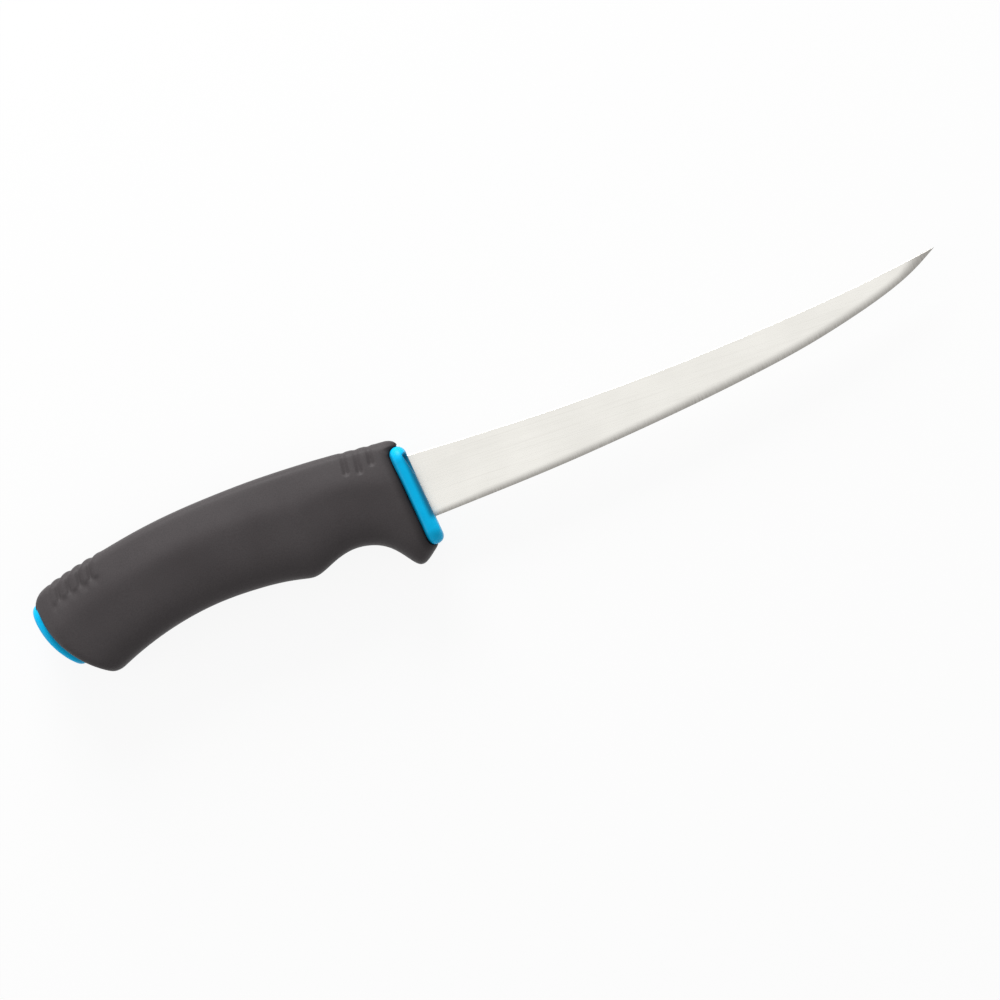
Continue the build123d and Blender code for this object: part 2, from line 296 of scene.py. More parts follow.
class KnifeSizes(bpy.types.PropertyGroup):
    """Sizes that change how the knife looks."""

    heel_width: bpy.props.FloatProperty(
        name="Heel width", description="Height of the blade where it leaves the collar",
        default=21.3 * MM, unit="LENGTH",
    )
    blade_thickness: bpy.props.FloatProperty(
        name="Blade thickness", description="Thickness of the steel at the collar",
        default=2.0 * MM, unit="LENGTH",
    )
    grind_height: bpy.props.FloatProperty(
        name="Grind height", description="Greatest height of the ground band above the edge",
        default=6.0 * MM, unit="LENGTH",
    )
    spine_bevel: bpy.props.FloatProperty(
        name="Spine bevel", description="Width of the eased corners of the spine",
        default=0.15 * MM, unit="LENGTH",
    )
    collar_height: bpy.props.FloatProperty(
        name="Collar height", description="Height of the hard collar",
        default=33.5 * MM, unit="LENGTH",
    )
    collar_width: bpy.props.FloatProperty(
        name="Collar width", description="Width of the hard collar through the knife",
        default=core_high.z - core_low.z, unit="LENGTH",
    )
    grip_thickness: bpy.props.FloatProperty(
        name="Grip thickness", description="Greatest thickness of the grip",
        default=22.2 * MM, unit="LENGTH",
    )
    rim_radius: bpy.props.FloatProperty(
        name="Rim radius", description="Rounding of the grip's front rim",
        default=2.2 * MM, unit="LENGTH",
    )
    butt_edge: bpy.props.FloatProperty(
        name="Butt edge", description="Rounding of the grip's butt at the flanks and the belly",
        default=2.5 * MM, unit="LENGTH",
    )
    butt_top_edge: bpy.props.FloatProperty(
        name="Butt top edge", description="Rounding of the grip's butt at the spine",
        default=5.5 * MM, unit="LENGTH",
    )
    rib_height: bpy.props.FloatProperty(
        name="Rib height", description="How far the rear ribs stand up from their valleys at the spine",
        default=0.45 * MM, unit="LENGTH",
    )
    groove_depth: bpy.props.FloatProperty(
        name="Groove depth", description="How deep the front grooves are at the spine",
        default=0.22 * MM, unit="LENGTH",
    )


class KnifeColours(bpy.types.PropertyGroup):
    """Colours of the knife and of the stage."""

    steel: bpy.props.FloatVectorProperty(
        name="Steel", description="Satin flat of the blade",
        subtype="COLOR", size=4, min=0, max=1, default=linear("#EFEDE7"),
    )
    # Colour of the honed band, darkened as painted reflection
    honed_and_painted_reflection: bpy.props.FloatVectorProperty(
        name="Honed steel", description="Ground band above the edge",
        subtype="COLOR", size=4, min=0, max=1, default=linear("#A7A49F"),
    )
    plastic: bpy.props.FloatVectorProperty(
        name="Hard plastic", description="Collar and butt pad",
        subtype="COLOR", size=4, min=0, max=1, default=linear("#00B6EB"),
    )
    rubber: bpy.props.FloatVectorProperty(
        name="Rubber", description="Grip",
        subtype="COLOR", size=4, min=0, max=1, default=linear("#474344"),
    )
    floor: bpy.props.FloatVectorProperty(
        name="Floor", description="Floor under the knife",
        subtype="COLOR", size=4, min=0, max=1, default=linear("#F4F4F4"),
    )


def node(tree, kind, settings=(), links=(), **values):
    """Adds a node: attributes from settings, links as (output, input) pairs, and socket values by name.

    An underscore in a value's name stands for a space in the socket's name."""
    made = tree.nodes.new(kind)
    for key, value in dict(settings).items():
        setattr(made, key, value)
    for key, value in values.items():
        made.inputs[key.replace("_", " ")].default_value = value
    for source, target in links:
        tree.links.new(source, made.inputs[target])
    return made


def material(name):
    """A new material with its node tree, its Principled shader and its Object coordinates."""
    made = bpy.data.materials.new(name)
    made.use_nodes = True
    tree = made.node_tree
    return made, tree, tree.nodes["Principled BSDF"], node(tree, "ShaderNodeTexCoord").outputs["Object"]


def cells(width):
    """Noise scale of a pattern whose cells are this many mm wide."""
    return 1 / (width * MM)


# Surfaces

def smooth(at, places, values):
    """Natural cubic spline through (places, values), read at the given places.

    The second derivatives m solve h0 m0 + 2 (h0 + h1) m1 + h1 m2 = 6 (slope1 - slope0), with m zero at both
    ends."""
    step = np.diff(places)
    slope = np.diff(values) / step
    count = len(places)
    system = np.eye(count)
    target = np.zeros(count)
    inner = np.arange(1, count - 1)
    system[inner, inner - 1] = step[:-1]
    system[inner, inner] = 2 * (step[:-1] + step[1:])
    system[inner, inner + 1] = step[1:]
    target[inner] = 6 * np.diff(slope)
    bend = np.linalg.solve(system, target)
    k = np.clip(np.searchsorted(places, at) - 1, 0, count - 2)
    a = places[k + 1] - at
    b = at - places[k]
    h = step[k]
    return (
        (bend[k] * a**3 + bend[k + 1] * b**3) / (6 * h)
        + (values[k] / h - bend[k] * h / 6) * a
        + (values[k + 1] / h - bend[k + 1] * h / 6) * b
    )


def ease(value, low, high):
    """Smooth step: 0 below low, 1 above high, and 3 t^2 - 2 t^3 between."""
    t = np.clip((value - low) / (high - low), 0, 1)
    return t * t * (3 - 2 * t)


def even_ring(outline, count):
    """Count points evenly spaced along a closed outline of many points, by its own length."""
    closed = np.vstack([outline, outline[:1]])
    length = np.concatenate([[0], np.cumsum(np.linalg.norm(np.diff(closed, axis=0), axis=1))])
    at = (np.arange(count) + 0.5) / count * length[-1]
    return np.stack([np.interp(at, length, closed[:, i]) for i in range(outline.shape[1])], axis=1)


def ring_normals(ring):
    """Outward normals of a ring of points in a plane: the tangent, turned by a quarter."""
    tangent = np.roll(ring, -1, axis=0) - np.roll(ring, 1, axis=0)
    tangent /= np.linalg.norm(tangent, axis=1, keepdims=True)
    normal = np.stack([tangent[:, 1], -tangent[:, 0]], axis=1)
    outward = np.sign(np.sum(normal * (ring - ring.mean(axis=0))))
    return normal * outward


def closed_mesh(name, shells, mark, marks):
    """Makes one closed mesh. Each shell is an array (rings, columns, 3) in mm, and mark names a value per
    point.

    A shell's rings run towards the butt and its columns from the spine over +Z, so that its faces point
    outwards. Its first and last rings lie on the knife's middle plane and are zipped shut: column j meets
    column n - 1 - j there, neighbours at one place become one point, and a quad that loses a corner is a
    triangle."""
    quads = []
    start = 0
    for shell in shells:
        rings, columns = shell.shape[:2]
        index = start + np.arange(rings * columns).reshape(rings, columns)
        folded = np.minimum(np.arange(columns), columns - 1 - np.arange(columns))
        for end in (0, -1):
            apart = np.linalg.norm(np.diff(shell[end], axis=0), axis=1) > ZIP_GAP
            leader = np.maximum.accumulate(np.append(0, np.where(apart, np.arange(1, columns), 0)))
            index[end] = index[end, leader[folded]]
        after = np.roll(index, -1, axis=1)
        quads.append(np.stack([index[:-1], index[1:], after[1:], after[:-1]], axis=-1).reshape(-1, 4))
        start += rings * columns
    quads = np.concatenate(quads)
    kept = quads != np.roll(quads, 1, axis=1)
    used, corners = np.unique(quads[kept], return_inverse=True)
    sides = kept.sum(axis=1)
    points = np.concatenate([shell.reshape(-1, 3) for shell in shells])
    mesh = bpy.data.meshes.new(name)
    mesh.vertices.add(len(used))
    mesh.vertices.foreach_set("co", (points[used] * MM).ravel())
    mesh.loops.add(len(corners))
    mesh.loops.foreach_set("vertex_index", corners.astype(np.int32))
    mesh.polygons.add(len(quads))
    mesh.polygons.foreach_set("loop_start", (np.cumsum(sides) - sides).astype(np.int32))
    values = np.concatenate([part.ravel() for part in marks])
    mesh.attributes.new(mark, "FLOAT", "POINT").data.foreach_set("value", values[used].astype(np.float32))
    mesh.update(calc_edges=True)
    return mesh


def place(name, mesh, finish, slot, *nodes):
    """Puts a mesh in the scene as a piece of the knife that stands for CAD nodes."""
    mesh.shade_smooth()
    mesh.materials.append(finish)
    piece = bpy.data.objects.new(name, mesh)
    bpy.context.scene.collection.objects.link(piece)
    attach(piece, "root")
    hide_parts(*nodes)
    return piece


# Steel

def blade_points(sizes):
    """Blade surface and each point's height above the edge. The rows run from tip to root, and a row goes
    spine, flank, edge, other flank.

    Half thickness is the flank's, straight from root to tip, and in the ground band it falls to the edge's,
    as t + (f - t) h / g + 4 b h (1 - h / g), with h the height above the edge and g the band's height."""
    tip_zone = BLADE_LENGTH - TIP_ZONES[1]
    rows = np.concatenate([
        np.linspace(BLADE_START, TIP_ZONES[0], BLADE_ROWS[0], endpoint=False),
        np.linspace(*TIP_ZONES, BLADE_ROWS[1], endpoint=False),
        BLADE_LENGTH - tip_zone * np.linspace(1, TIP_LAST, BLADE_ROWS[2]) ** TIP_SPACING,
    ])[::-1]
    share = np.maximum(rows, 0) / BLADE_LENGTH
    rise = smooth(share, BLADE_SHARES[:, 0], BLADE_SHARES[:, 1]) * TIP_RISE
    half = smooth(share, BLADE_SHARES[:, 0], BLADE_SHARES[:, 2]) * sizes.heel_width / MM / 2
    half = np.maximum(half, POINT_HALF)
    ground = np.clip((rows - RICASSO) / (BLADE_LENGTH - RICASSO), 0, 1)
    thickness = sizes.blade_thickness / MM
    flank = (thickness - ground * (thickness - TIP_THICKNESS))[:, None] / 2
    band = np.interp(share, BLADE_SHARES[:, 0], BLADE_SHARES[:, 3])[:, None] * sizes.grind_height / MM
    thin = EDGE_THICKNESS / 2

    def thickness_at(height):
        """Half thickness at a height above the edge."""
        part = np.clip(height / band, 0, 1)
        return thin + (flank - thin) * part + 4 * GRIND_BULGE * band * part * (1 - part)

    # Heights above the edge for one flank, from the spine's corner down: dense in the ground band. The
    # spine's flat, the crown, adds two points above them, a third of the way out and at its corner
    tall = 2 * half[:, None]
    bevel = np.minimum(sizes.spine_bevel / MM, half * TIP_BEVEL_SHARE)[:, None]
    split = np.minimum(band, TIP_BAND_SHARE * (tall - bevel))
    support = np.minimum(SPINE_SUPPORT, (tall - bevel - split) / 2)
    upper = split + (tall - bevel - support - split) * np.linspace(1, 0, UPPER_COUNT)
    lower = split * np.linspace(1, 0, BAND_COUNT)[1:]
    heights = np.hstack([tall - bevel, upper, lower])
    crown = np.hstack([tall, tall])
    crown_depth = np.maximum(thickness_at(tall) - bevel, POINT_HALF) * np.array([1 / 3, 1])
    height = np.hstack([crown, heights])
    depth = np.hstack([crown_depth, thickness_at(heights)])
    height = np.hstack([height, height[:, ::-1]])
    depth = np.hstack([depth, -depth[:, ::-1]])
    edge = (rise - half)[:, None]
    along = np.broadcast_to(rows[:, None], height.shape)
    return np.stack([along, edge + height, depth], axis=-1), height


def close_ends(points):
    """Adds a first and a last ring that lie on the knife's middle plane, so that the ends zip shut."""
    first, last = points[:1].copy(), points[-1:].copy()
    first[..., 2] = 0
    last[..., 2] = 0
    return np.concatenate([first, points, last])


def steel_finish(colours):
    """Stainless steel, rolled and satin-brushed along the blade: near white, with faint lengthwise streaks.

    The honed band above the edge is ground across on a fine wheel, which gives its marks; its darker, greyer
    colour is painted reflection, for the tilted bevel and the thin tip reflecting less light."""
    made, tree, shader, place_in = material("satin brushed stainless steel")
    band = node(tree, "ShaderNodeAttribute", {"attribute_name": "honed_and_painted_reflection"}).outputs["Fac"]

    # Brush lines a third of a millimetre apart and 42 mm long: the real ones are nearer 0.05 mm apart,
    # which is too fine for the render to show
    brush_cells = (cells(BRUSH_LENGTH), cells(BRUSH_SPACING), cells(BRUSH_SPACING))
    lengthwise = node(tree, "ShaderNodeMapping", links=[(place_in, "Vector")], Scale=brush_cells)
    brushed = node(
        tree, "ShaderNodeTexNoise", links=[(lengthwise.outputs["Vector"], "Vector")],
        Scale=1.0, Detail=4.0, Roughness=0.6,
    ).outputs["Fac"]
    streak = node(
        tree, "ShaderNodeMapRange", links=[(brushed, "Value")],
        From_Min=0.3, From_Max=0.5, To_Min=0.1, To_Max=0.0,
    ).outputs["Result"]

    # Cloudy patches about 22 mm wide, left by the rolling and by handling
    cloudy = node(
        tree, "ShaderNodeTexNoise", links=[(place_in, "Vector")],
        Scale=cells(CLOUD_WIDTH), Detail=3.0, Roughness=0.55,
    ).outputs["Fac"]
    patch = node(
        tree, "ShaderNodeMapRange", links=[(cloudy, "Value")], From_Min=0.35, From_Max=0.65
    ).outputs["Result"]

    # Grinding marks across the edge, a third of a millimetre apart, that break up the band
    mark_cells = (cells(MARK_SPACING), cells(MARK_LENGTH), cells(MARK_LENGTH))
    across = node(tree, "ShaderNodeMapping", links=[(place_in, "Vector")], Scale=mark_cells)
    marks = node(
        tree, "ShaderNodeTexNoise", links=[(across.outputs["Vector"], "Vector")],
        Scale=1.0, Detail=3.0, Roughness=0.7,
    ).outputs["Fac"]
    scratch = node(
        tree, "ShaderNodeMapRange", links=[(marks, "Value")], From_Min=0.35, From_Max=0.65
    ).outputs["Result"]

    flat = node(
        tree, "ShaderNodeMix", {"data_type": "RGBA"}, [(patch, "Factor")],
        A=linear("#E9E7E1"), B=colours.steel,
    )
    streaked = node(
        tree, "ShaderNodeMix", {"data_type": "RGBA", "blend_type": "MULTIPLY"},
        [(flat.outputs["Result"], "A"), (streak, "Factor")], B=linear("#B9B5B0"),
    )
    # Painted reflection: the honed band's darker grey stands in for the tilted bevel reflecting less light;
    # its cross marks are real grinding
    honed_and_painted_reflection = node(
        tree, "ShaderNodeMix", {"data_type": "RGBA"}, [(scratch, "Factor")],
        A=linear("#8F8C87"), B=colours.honed_and_painted_reflection,
    )
    whole = node(
        tree, "ShaderNodeMix", {"data_type": "RGBA"},
        [(band, "Factor"), (streaked.outputs["Result"], "A"), (honed_and_painted_reflection.outputs["Result"], "B")],
    )
    tree.links.new(whole.outputs["Result"], shader.inputs["Base Color"])
    rough = node(
        tree, "ShaderNodeMapRange", links=[(brushed, "Value")],
        From_Min=0.3, From_Max=0.7, To_Min=0.22, To_Max=0.3,
    )
    tree.links.new(rough.outputs["Result"], shader.inputs["Roughness"])
    shader.inputs["Metallic"].default_value = 1.0
    bump = node(tree, "ShaderNodeBump", links=[(brushed, "Height")], Strength=0.06, Distance=0.02 * MM)
    tree.links.new(bump.outputs["Normal"], shader.inputs["Normal"])
    return made


# Hard plastic

def collar_to_knife(out, up, through):
    """Collar axes to knife axes: out of the front face, up along it, and through the knife."""
    x = out * math.cos(COLLAR_LEAN) - up * math.sin(COLLAR_LEAN)
    y = out * math.sin(COLLAR_LEAN) + up * math.cos(COLLAR_LEAN)
    return np.stack([x, y, through], axis=-1)


def knife_to_collar(x, y):
    """Knife axes to collar axes: how far out of the front face, and how far up along it."""
    out = x * math.cos(COLLAR_LEAN) + y * math.sin(COLLAR_LEAN)
    return out, y * math.cos(COLLAR_LEAN) - x * math.sin(COLLAR_LEAN)


def oval_outline(length, width, round_share):
    """Outline of an oval, dense, from its top clockwise, as (up, through). It has four arcs: ends with a
    radius of the share times half the width, and flanks of the radius that meets them."""
    a, b = length / 2, width / 2
    turn = np.linspace(0, 2 * np.pi, OUTLINE_COUNT, endpoint=False)
    r = round_share * b
    wide = (a * a + b * b - 2 * a * r) / (2 * (b - r))
    meet = math.asin((a - r) / (wide - r))
    flank = np.abs(np.cos(turn)) < math.sin(meet)
    radius = np.where(flank, wide, r)
    middle_up = np.where(flank, 0, np.sign(np.cos(turn)) * (a - r))
    middle_through = np.where(flank, -np.sign(np.sin(turn)) * (wide - b), 0)
    return np.stack([middle_up + radius * np.cos(turn), middle_through + radius * np.sin(turn)], axis=-1)


def rounded_box(height, width, radius):
    """Outline of a rectangle with round corners, dense, from its top clockwise, as (up, through)."""
    turn = np.linspace(0, 2 * np.pi, OUTLINE_COUNT, endpoint=False)
    round_it = np.stack([np.cos(turn), np.sin(turn)], axis=-1)
    return np.sign(round_it) * (np.array([height, width]) / 2 - radius) + radius * round_it


def flattened(ring):
    """A ring pressed onto the middle plane, its ends moved in by half its width so that no triangle there
    is flat."""
    up, half = ring[:, 0], ring[:, 1].max()
    return np.column_stack([np.clip(up, up.min() + half, up.max() - half), np.zeros_like(up)])


def collar_points(sizes, columns=COLLAR_COLUMNS):
    """Collar and how much painted shade each point gets: rings from the mouth round the blade, over the flat
    front and the round nose, to the back.

    A nose ring is the outline set in by r, plus r (cos v outwards + sin v forwards)."""
    height, width = sizes.collar_height / MM, sizes.collar_width / MM
    corner = COLLAR_CORNER - NOSE_RADIUS
    inner = even_ring(rounded_box(height - 2 * NOSE_RADIUS, width - 2 * NOSE_RADIUS, corner), columns)
    normal = ring_normals(inner)
    inner = inner - np.array([COLLAR_DROP, 0])
    heel, thick = sizes.heel_width / MM, sizes.blade_thickness / MM
    mouth = rounded_box(heel + 2 * MOUTH_MARGIN, thick + 2 * MOUTH_MARGIN, MOUTH_MARGIN)
    mouth = even_ring(mouth, columns)
    mouth_normal = ring_normals(mouth)

    # The middle of the mouth's floor lies inside the steel, half as thick as the blade
    floor = even_ring(rounded_box(heel - MOUTH_MARGIN, thick / 2, thick / 8), columns)
    rings = []

    def add_ring(flat, out):
        """Keeps a ring of the collar: its points in the plane and how far out they are."""
        rings.append(np.column_stack([np.full(len(flat), out), flat]))

    add_ring(flattened(floor), -MOUTH_DEPTH)
    add_ring(floor, -MOUTH_DEPTH)
    add_ring(mouth - MOUTH_CORNER * mouth_normal, -MOUTH_DEPTH)
    add_ring(mouth, MOUTH_CORNER - MOUTH_DEPTH)
    for turn in np.linspace(0, math.pi / 2, MOUTH_LIP_COUNT):
        shift = MOUTH_LIP * (1 - math.cos(turn))
        add_ring(mouth + shift * mouth_normal, MOUTH_LIP * (math.sin(turn) - 1))
    lip = mouth + MOUTH_LIP * mouth_normal
    for part in np.linspace(0, 1, FACE_COUNT)[1:-1]:
        add_ring(lip + (inner - lip) * part, 0)
    for turn in np.linspace(math.pi / 2, 0, NOSE_COUNT):
        add_ring(inner + NOSE_RADIUS * math.cos(turn) * normal, NOSE_RADIUS * (math.sin(turn) - 1))
    for turn in np.linspace(0, -math.pi / 2, NOSE_COUNT):
        level = NOSE_RADIUS * (math.sin(turn) + 1) - COLLAR_THICKNESS
        add_ring(inner + NOSE_RADIUS * math.cos(turn) * normal, level)
    add_ring(flattened(inner), -COLLAR_THICKNESS)
    out, up, through = np.moveaxis(np.array(rings), -1, 0)

    # The notch beside the blade's spine: the front is pressed in to a sloping floor on both flanks
    soft = NOTCH_SOFTNESS
    floor_out = -NOTCH_DEPTH + (NOTCH_DEPTH - NOTCH_END_DEPTH) / NOTCH_LENGTH * (NOTCH_TOP - up)
    inside = ease(np.abs(through), NOTCH_FLOOR - soft, NOTCH_FLOOR + soft)
    inside *= 1 - ease(up, NOTCH_TOP - soft, NOTCH_TOP + soft)
    inside *= ease(up, NOTCH_TOP - NOTCH_LENGTH - soft, NOTCH_TOP - NOTCH_LENGTH + soft)
    pressed = out + (np.minimum(out, floor_out) - out) * inside

    # Painted shade: the front is darkened where it faces the blade, and the back where it meets the rubber
    painted_shade = ease(out, FRONT_SHADE_START, FRONT_SHADE_END)
    painted_shade *= 1 - ease(up, NOTCH_TOP - 4 * soft, NOTCH_TOP + 4 * soft)
    painted_shade *= ease(up, *FRONT_SHADE_FOOT)
    painted_shade = np.maximum(painted_shade, BACK_SHADE_SHARE * ease(-out, -BACK_SHADE_START, -BACK_SHADE_END))
    return collar_to_knife(pressed, up, through), painted_shade


def pad_points(columns=PAD_COLUMNS):
    """Butt pad: an oval bar whose outer face is part of a cylinder, with out = sqrt(c^2 - up^2)."""
    outline = even_ring(oval_outline(PAD_HEIGHT, PAD_WIDTH, PAD_ROUND_SHARE), columns)
    normal = ring_normals(outline)
    reach = BUTT_RADIUS + PAD_PROUD - PAD_CURVE
    rings = []

    def add_ring(flat, drop):
        """Keeps a ring that lies drop below the pad's outer face."""
        face = np.sqrt(PAD_CURVE**2 - flat[:, 0] ** 2) + reach
        rings.append(np.column_stack([face - drop, flat]))

    add_ring(flattened(outline), PAD_FOOT)
    add_ring(outline, PAD_FOOT)
    add_ring(outline, PAD_SIDE)
    for turn in np.linspace(0, math.pi / 2, PAD_EDGE_COUNT):
        shift = PAD_EDGE * (1 - math.cos(turn))
        add_ring(outline - shift * normal, PAD_EDGE * (1 - math.sin(turn)))
    inner = outline - PAD_EDGE * normal
    for part in np.linspace(1, 0, PAD_FACE_COUNT)[1:]:
        add_ring(inner * np.array([1, part]), 0)
    out, up, through = np.moveaxis(np.array(rings), -1, 0)
    x = BUTT_CENTRE[0] - out * math.cos(PAD_TURN) - up * math.sin(PAD_TURN)
    y = BUTT_CENTRE[1] - out * math.sin(PAD_TURN) + up * math.cos(PAD_TURN)
    return np.stack([x, y, through], axis=-1)


def plastic_finish(colours):
    """Polypropylene, injection moulded in a polished tool: an even cyan with a soft gloss and faint haze, and
    painted shade on the collar's front and back.
    """
    made, tree, shader, place_in = material("semi-gloss moulded polypropylene")

    # Flow haze about 6 mm wide
    flow = node(
        tree, "ShaderNodeTexNoise", links=[(place_in, "Vector")],
        Scale=cells(FLOW_WIDTH), Detail=2.0, Roughness=0.5,
    ).outputs["Fac"]
    haze = node(
        tree, "ShaderNodeMapRange", links=[(flow, "Value")], From_Min=0.3, From_Max=0.7
    ).outputs["Result"]
    even = node(
        tree, "ShaderNodeMix", {"data_type": "RGBA"}, [(haze, "Factor")],
        A=linear("#00AEE2"), B=colours.plastic,
    )
    # Painted shade: the collar's front beside the blade and its back at the rubber are darkened towards a
    # deep blue
    painted_shade = node(tree, "ShaderNodeAttribute", {"attribute_name": "painted_shade"}).outputs["Fac"]
    whole = node(
        tree, "ShaderNodeMix", {"data_type": "RGBA"},
        [(painted_shade, "Factor"), (even.outputs["Result"], "A")], B=linear("#04678A"),
    )
    tree.links.new(whole.outputs["Result"], shader.inputs["Base Color"])
    rough = node(
        tree, "ShaderNodeMapRange", links=[(flow, "Value")],
        From_Min=0.3, From_Max=0.7, To_Min=0.34, To_Max=0.42,
    )
    tree.links.new(rough.outputs["Result"], shader.inputs["Roughness"])
    shader.inputs["IOR"].default_value = 1.49
    shader.inputs["Specular IOR Level"].default_value = 0.12

    # Orange peel of about 1 mm, as thick mouldings have
    peel = node(
        tree, "ShaderNodeTexNoise", links=[(place_in, "Vector")], Scale=cells(PEEL_WIDTH), Detail=1.0
    ).outputs["Fac"]
    bump = node(tree, "ShaderNodeBump", links=[(peel, "Height")], Strength=0.15, Distance=0.02 * MM)
    tree.links.new(bump.outputs["Normal"], shader.inputs["Normal"])
    return made


# Rubber

def grip_columns(along):
    """Spine height, belly height and half-thickness share at places in mm behind the collar."""
    share = along / GRIP_LENGTH
    heights = [smooth(share, GRIP_SHARES[:, 0], GRIP_SHARES[:, i]) * GRIP_HEIGHT for i in (1, 2)]
    return *heights, smooth(share, GRIP_SHARES[:, 0], GRIP_SHARES[:, 3])


def grip_skin(along, turn, thickness):
    """Point of the grip's skin. The section is an ellipse squared off, with its radius at an angle from the
    spine given by (|cos / height|^n + |sin / width|^n)^(-1/n). Its upper shoulders are flattened: a point
    is no further out than a slanting line, and the two meet in the soft minimum
    -k log(e^(-a/k) + e^(-b/k))."""
    spine, belly, half_share = grip_columns(along)
    middle, half_height = (spine + belly) / 2, (spine - belly) / 2
    half_width = half_share * thickness
    up_part = (np.abs(np.cos(turn)) / half_height) ** SQUARENESS
    through_part = (np.abs(np.sin(turn)) / half_width) ** SQUARENESS
    radius = (up_part + through_part) ** (-1 / SQUARENESS)
    rise = radius * np.cos(turn)
    width_share = radius * np.abs(np.sin(turn)) / half_width
    shoulder = SHOULDER_WIDTH - SHOULDER_SLOPE * rise / half_height
    k = SHOULDER_SOFTNESS
    width_share = -k * np.logaddexp(-width_share / k, -shoulder / k)
    through = np.sign(np.sin(turn)) * width_share * half_width
    return np.stack([-along + 0 * radius, middle + rise, through], axis=-1)


def slot_cut(out, up, collar_height):
    """How deep a point in collar axes is inside the round-ended slot that holds the collar."""
    top = collar_height / 2 - COLLAR_DROP
    half = COLLAR_THICKNESS / 2
    level = np.clip(up, top - collar_height + half, top - half)
    return half - np.hypot(out + half, up - level)


def front_cut(x, y, collar_height):
    """How deep a point in side view is inside what is cut from the grip's front, and negative outside it:
    ahead of the collar's middle, in the slot that holds the collar, or beyond the quarter ellipse that
    rounds the top."""
    out, up = knife_to_collar(x, y)
    top = collar_height / 2 - COLLAR_DROP
    half = COLLAR_THICKNESS / 2
    plane = out + half - LIP_REACH * ease(up, top - half, top)
    slot = slot_cut(out, up, collar_height)
    start = -GRIP_SHARES[CORNER_ROW, 0] * GRIP_LENGTH
    end = collar_to_knife(LIP_REACH - half, top + LIP_WALL, 0)
    rise = GRIP_SHARES[CORNER_ROW, 1] * GRIP_HEIGHT + CORNER_RISE - end[1]
    corner = rise * (np.hypot((x - start) / (end[0] - start), (y - end[1]) / rise) - 1)
    corner = np.minimum(corner, np.minimum(x - start, y - end[1]))
    return np.maximum(np.maximum(plane, slot), corner)


def butt_cut(x, y):
    """How deep a point in side view is outside the round post that forms the butt."""
    behind = np.hypot(x - BUTT_CENTRE[0], y - BUTT_CENTRE[1]) - BUTT_RADIUS
    return np.where(x < BUTT_CENTRE[0], behind, -BUTT_RADIUS)


def first_crossing(turn, thickness, places, cut, level):
    """Along each column of the skin, the first of the places where the cut's depth rises above a level,
    with a straight line between the two places on either side of it."""
    skin = grip_skin(places[:, None], turn[None, :], thickness)
    depth = cut(skin[..., 0], skin[..., 1]) - level
    hit = np.argmax(depth > 0, axis=0)
    column = np.arange(len(turn))
    before, after = depth[hit - 1, column], depth[hit, column]
    part = -before / (after - before)
    return places[hit - 1] + part * (places[hit] - places[hit - 1])


def cut_normal(cut, x, y):
    """Direction in side view in which a cut gets deeper, from differences over a hundredth of a mm."""
    step = 0.01
    slope = np.stack([cut(x + step, y) - cut(x - step, y), cut(x, y + step) - cut(x, y - step)], axis=-1)
    return slope / np.linalg.norm(slope, axis=-1, keepdims=True)


def skin_normals(skin):
    """Unit normals of a closed grid of points, outward, from the cross product of its two differences."""
    along = np.gradient(skin, axis=0)
    round_it = np.roll(skin, -1, axis=1) - np.roll(skin, 1, axis=1)
    normal = np.cross(round_it, along)
    normal /= np.linalg.norm(normal, axis=-1, keepdims=True)
    middle = skin.mean(axis=1, keepdims=True)
    return normal * np.sign(np.sum(normal * (skin - middle)))


def rim_rings(corner, start, normal, wall_normal, radius, steps, depth_steps):
    """Rings that round a cut's rim and then cross the cut's wall to the knife's middle plane.

    The rim is a quadratic curve from the skin's last ring by way of the corner to a point on the wall, in
    the direction -N + (N . W) W, with N the skin's normal and W the wall's. A wall ring shrinks towards
    z = 0."""
    wall = np.concatenate([wall_normal, np.zeros((len(wall_normal), 1))], axis=1)
    inward = -normal + np.sum(normal * wall, axis=1, keepdims=True) * wall
    end = corner + np.reshape(radius, (-1, 1)) * inward
    part = np.linspace(0, 1, steps + 1)[1:, None, None]
    rim = (1 - part) ** 2 * start + 2 * part * (1 - part) * corner + part**2 * end
    shrink = np.linspace(1, 0, depth_steps + 1)[1:, None]
    wall_rings = np.repeat(end[None], depth_steps, axis=0)
    wall_rings[..., 2] *= shrink
    return np.concatenate([rim, wall_rings])


def rib_lift(along, drop, height):
    """Lift of the rear ribs in mm. At the spine a crest is a third of the height up and a valley two thirds
    down.

    A rib runs back by RIB_SHIFT (1 - e^(-drop / RIB_TURN)) as it comes over the spine, and its end is round:
    a point's distance from the rib's line is hypot(offset, what it is below the end's middle). The valley
    has the section of a bell curve and lies a rib's radius away from that line, behind and under the rib. It
    is deeper on the flank, and shallower and wider again under the rib."""
    first = along - RIB_SHIFT * (1 - np.exp(-np.maximum(drop, 0) / RIB_TURN)) - RIB_START
    below = np.maximum(drop - RIB_DROP, 0)
    growth = 1 + VALLEY_GROWTH * ease(drop, 0, RIB_DROP)
    crest = np.zeros_like(along)
    valley = np.zeros_like(along)
    for step in range(RIB_COUNT):
        offset = first - step * RIB_PITCH
        away = np.hypot(offset, below)
        crest = np.maximum(crest, np.exp(-((away / RIB_CREST) ** 2)))
        behind = ease(offset / RIB_RADIUS, *VALLEY_ONSET)
        behind *= 1 - VALLEY_FADE * ease(below, 0, RIB_RADIUS)
        half = VALLEY_HALF * np.where(away > RIB_RADIUS, 1 + ease(below, 0, RIB_RADIUS), 1)
        valley = np.maximum(valley, behind * np.exp(-(((away - RIB_RADIUS) / half) ** 2)))
    return height * (crest - 2 * growth * valley) / 3


